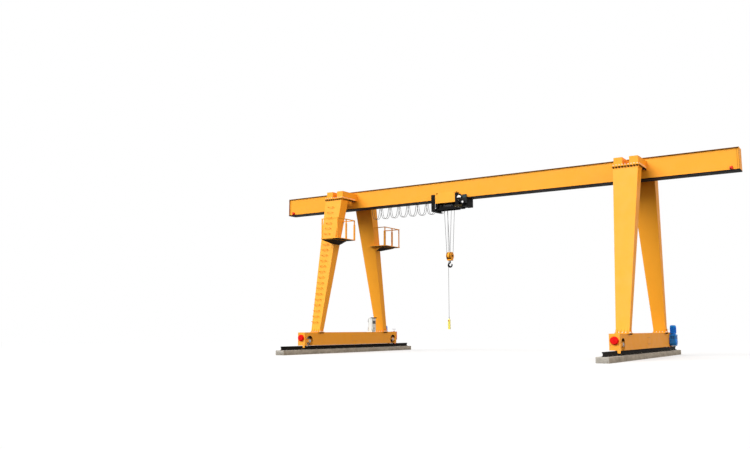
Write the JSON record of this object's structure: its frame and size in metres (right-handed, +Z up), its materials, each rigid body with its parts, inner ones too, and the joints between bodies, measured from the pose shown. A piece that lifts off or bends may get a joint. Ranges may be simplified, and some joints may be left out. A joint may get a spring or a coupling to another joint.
{
  "type": "gantry crane",
  "caption": "Rail-mounted single-girder gantry crane with splayed box legs, an underslung rope hoist trolley, cable festoon, side platforms and concrete rail beams.",
  "frame": {"origin": "on the ground, midway along the girder and midway along the rails", "axes": "+X along the girder, +Y along the rails to the end with the rail clamps, +Z up"},
  "size_m": [24.8, 12.2, 9],
  "materials": {
    "concrete": "cast concrete, weathered",
    "black_paint": "satin black paint",
    "wheel_steel": "machined tread on cast steel",
    "red_rubber": "moulded rubber",
    "red_paint": "gloss paint",
    "blue_paint": "gloss paint",
    "clamp_paint": "gloss paint",
    "pale_yellow_paint": "satin paint",
    "zinc_steel": "zinc plated",
    "white_paint": "powder coat",
    "cable_black": "rubber sheath",
    "wire_rope": "greased wire rope",
    "pendant_plastic": "moulded",
    "drum_steel": "machined",
    "grey_paint": "gloss paint",
    "crane_yellow": "satin paint"
  },
  "bodies": {
    "runway": {"left_plinth": "concrete", "right_plinth": "concrete", "left_rail": "black_paint", "right_rail": "black_paint"},
    "trolley": {"trolley_end_frames": "black_paint", "trolley_wheels": "black_paint", "trolley_side_panels": "pale_yellow_paint", "hoist_frame": "black_paint", "hoist_motor": "black_paint", "hoist_control_box": "black_paint", "cross_travel_drive": "grey_paint", "towing_arm": "pale_yellow_paint", "pendant_cable": "cable_black", "pendant": "pendant_plastic", "hoist_ropes": "wire_rope"},
    "hoist_drum": {"hoist_drum": "drum_steel"},
    "hook_block": {"hook_block": "crane_yellow", "block_sheaves": "black_paint"},
    "hook": {"hook": "black_paint"},
    "cabinet_door": {"cabinet_door": "white_paint"},
    "left_clamp_handle": {"left_clamp_handle": "zinc_steel"},
    "right_clamp_handle": {"right_clamp_handle": "zinc_steel"},
    "front_left_wheel": {"front_left_wheel": "wheel_steel"},
    "front_right_wheel": {"front_right_wheel": "wheel_steel"},
    "rear_left_wheel": {"rear_left_wheel": "wheel_steel"},
    "rear_right_wheel": {"rear_right_wheel": "wheel_steel"},
    "cable_carrier_1": {"cable_carrier_1": "zinc_steel"},
    "cable_carrier_2": {"cable_carrier_2": "zinc_steel"},
    "cable_carrier_3": {"cable_carrier_3": "zinc_steel"},
    "cable_carrier_4": {"cable_carrier_4": "zinc_steel"},
    "cable_carrier_5": {"cable_carrier_5": "zinc_steel"},
    "cable_carrier_6": {"cable_carrier_6": "zinc_steel"},
    "cable_carrier_7": {"cable_carrier_7": "zinc_steel"},
    "gantry": {"buffers": "red_rubber", "cable_track": "black_paint", "control_cabinet": "white_paint", "festoon_cables": "cable_black", "front_leg_rungs": "crane_yellow", "front_platform": "crane_yellow", "front_railing": "crane_yellow", "left_carriage": "crane_yellow", "left_drive": "blue_paint", "left_front_leg": "crane_yellow", "left_head_brackets": "crane_yellow", "left_rail_clamp": "clamp_paint", "left_rear_leg": "crane_yellow", "main_girder": "crane_yellow", "rear_leg_rungs": "crane_yellow", "rear_platform": "crane_yellow", "rear_railing": "crane_yellow", "right_carriage": "crane_yellow", "right_drive": "blue_paint", "right_front_leg": "crane_yellow", "right_head_brackets": "crane_yellow", "right_rail_clamp": "clamp_paint", "right_rear_leg": "crane_yellow", "track_flange": "black_paint", "trolley_end_stops": "red_paint"}
  },
  "joints": [
    {"name": "gantry_travel", "type": "slide", "parent": "runway", "child": "gantry", "axis": [0, 1, 0], "range_m": [-1.1, 1.1]},
    {"name": "front_left_wheel_spin", "type": "hinge", "parent": "gantry", "child": "front_left_wheel", "pos_m": [-8, -4.02, 0.6753], "axis": [1, 0, 0], "range_deg": [-260, 260]},
    {"name": "front_right_wheel_spin", "type": "hinge", "parent": "gantry", "child": "front_right_wheel", "pos_m": [8, -4.02, 0.6753], "axis": [1, 0, 0], "range_deg": [-260, 260]},
    {"name": "rear_left_wheel_spin", "type": "hinge", "parent": "gantry", "child": "rear_left_wheel", "pos_m": [-8, 4.02, 0.6753], "axis": [1, 0, 0], "range_deg": [-260, 260]},
    {"name": "rear_right_wheel_spin", "type": "hinge", "parent": "gantry", "child": "rear_right_wheel", "pos_m": [8, 4.02, 0.6753], "axis": [1, 0, 0], "range_deg": [-260, 260]},
    {"name": "trolley_travel", "type": "slide", "parent": "gantry", "child": "trolley", "axis": [1, 0, 0], "range_m": [-3.6, 10.8], "deforming": ["festoon_cables"]},
    {"name": "cable_carrier_1_slide", "type": "slide", "parent": "gantry", "child": "cable_carrier_1", "axis": [1, 0, 0], "range_m": [-0.47, 1.37]},
    {"name": "cable_carrier_2_slide", "type": "slide", "parent": "gantry", "child": "cable_carrier_2", "axis": [1, 0, 0], "range_m": [-0.92, 2.72]},
    {"name": "cable_carrier_3_slide", "type": "slide", "parent": "gantry", "child": "cable_carrier_3", "axis": [1, 0, 0], "range_m": [-1.37, 4.07]},
    {"name": "cable_carrier_4_slide", "type": "slide", "parent": "gantry", "child": "cable_carrier_4", "axis": [1, 0, 0], "range_m": [-1.82, 5.42]},
    {"name": "cable_carrier_5_slide", "type": "slide", "parent": "gantry", "child": "cable_carrier_5", "axis": [1, 0, 0], "range_m": [-2.27, 6.77]},
    {"name": "cable_carrier_6_slide", "type": "slide", "parent": "gantry", "child": "cable_carrier_6", "axis": [1, 0, 0], "range_m": [-2.72, 8.12]},
    {"name": "cable_carrier_7_slide", "type": "slide", "parent": "gantry", "child": "cable_carrier_7", "axis": [1, 0, 0], "range_m": [-3.17, 9.47]},
    {"name": "hoist_lift", "type": "slide", "parent": "trolley", "child": "hook_block", "axis": [0, 0, 1], "range_m": [-4, 1.8], "deforming": ["hoist_ropes"]},
    {"name": "hoist_drum_turn", "type": "hinge", "parent": "trolley", "child": "hoist_drum", "pos_m": [-1.69, 0, 7.72], "axis": [1, 0, 0], "range_deg": [-1240, 2740]},
    {"name": "hook_swivel", "type": "hinge", "parent": "hook_block", "child": "hook", "pos_m": [-1.69, 0, 4.59], "axis": [0, 0, 1], "continuous": true},
    {"name": "cabinet_door_hinge", "type": "hinge", "parent": "gantry", "child": "cabinet_door", "pos_m": [-7.76, 1.735, 1.5], "axis": [0, 0, -1], "range_deg": [0, 115]},
    {"name": "left_clamp_screw", "type": "hinge", "parent": "gantry", "child": "left_clamp_handle", "pos_m": [-8, 4.525, 1.12], "axis": [0, 0, 1], "range_deg": [0, 1080]},
    {"name": "right_clamp_screw", "type": "hinge", "parent": "gantry", "child": "right_clamp_handle", "pos_m": [8, 4.525, 1.12], "axis": [0, 0, 1], "range_deg": [0, 1080]}
  ],
  "couplings": [
    {"joint": "front_left_wheel_spin", "follows": "gantry_travel", "rad_per_m": -4},
    {"joint": "front_right_wheel_spin", "follows": "gantry_travel", "rad_per_m": -4},
    {"joint": "rear_left_wheel_spin", "follows": "gantry_travel", "rad_per_m": -4},
    {"joint": "rear_right_wheel_spin", "follows": "gantry_travel", "rad_per_m": -4},
    {"joint": "cable_carrier_1_slide", "follows": "trolley_travel", "ratio": 0.125},
    {"joint": "cable_carrier_2_slide", "follows": "trolley_travel", "ratio": 0.25},
    {"joint": "cable_carrier_3_slide", "follows": "trolley_travel", "ratio": 0.375},
    {"joint": "cable_carrier_4_slide", "follows": "trolley_travel", "ratio": 0.5},
    {"joint": "cable_carrier_5_slide", "follows": "trolley_travel", "ratio": 0.625},
    {"joint": "cable_carrier_6_slide", "follows": "trolley_travel", "ratio": 0.75},
    {"joint": "cable_carrier_7_slide", "follows": "trolley_travel", "ratio": 0.875},
    {"joint": "hoist_drum_turn", "follows": "hoist_lift", "rad_per_m": -11.765}
  ]
}
